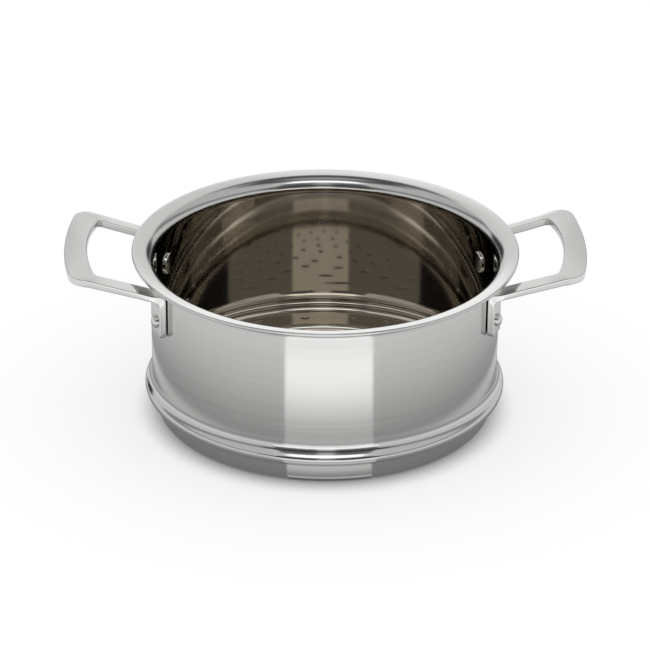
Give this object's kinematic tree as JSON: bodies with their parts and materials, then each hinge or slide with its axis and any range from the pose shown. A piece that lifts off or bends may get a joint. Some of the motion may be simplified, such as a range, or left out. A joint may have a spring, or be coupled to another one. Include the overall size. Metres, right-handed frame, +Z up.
{
  "type": "steamer insert",
  "caption": "Round steel steamer insert with a perforated flat base, a rolled seating bead, a flared rim and two riveted loop handles.",
  "frame": {"origin": "centre of the flat base, on the surface it stands on", "axes": "+Z up out of the open top, along the vessel's axis; +X towards the right handle, so both handles lie along X"},
  "size_m": [0.3042, 0.226, 0.1053],
  "materials": {
    "vessel_steel": "satin outside, polished inside",
    "handle_left_steel": "satin top, polished edges",
    "handle_right_steel": "satin top, polished edges",
    "rivet_left_front_steel": "polished",
    "rivet_left_rear_steel": "polished",
    "rivet_right_front_steel": "polished",
    "rivet_right_rear_steel": "polished"
  },
  "bodies": {
    "root": {"vessel": "vessel_steel", "handle_left": "handle_left_steel", "handle_right": "handle_right_steel", "rivet_left_front": "rivet_left_front_steel", "rivet_left_rear": "rivet_left_rear_steel", "rivet_right_front": "rivet_right_front_steel", "rivet_right_rear": "rivet_right_rear_steel"}
  },
  "joints": []
}
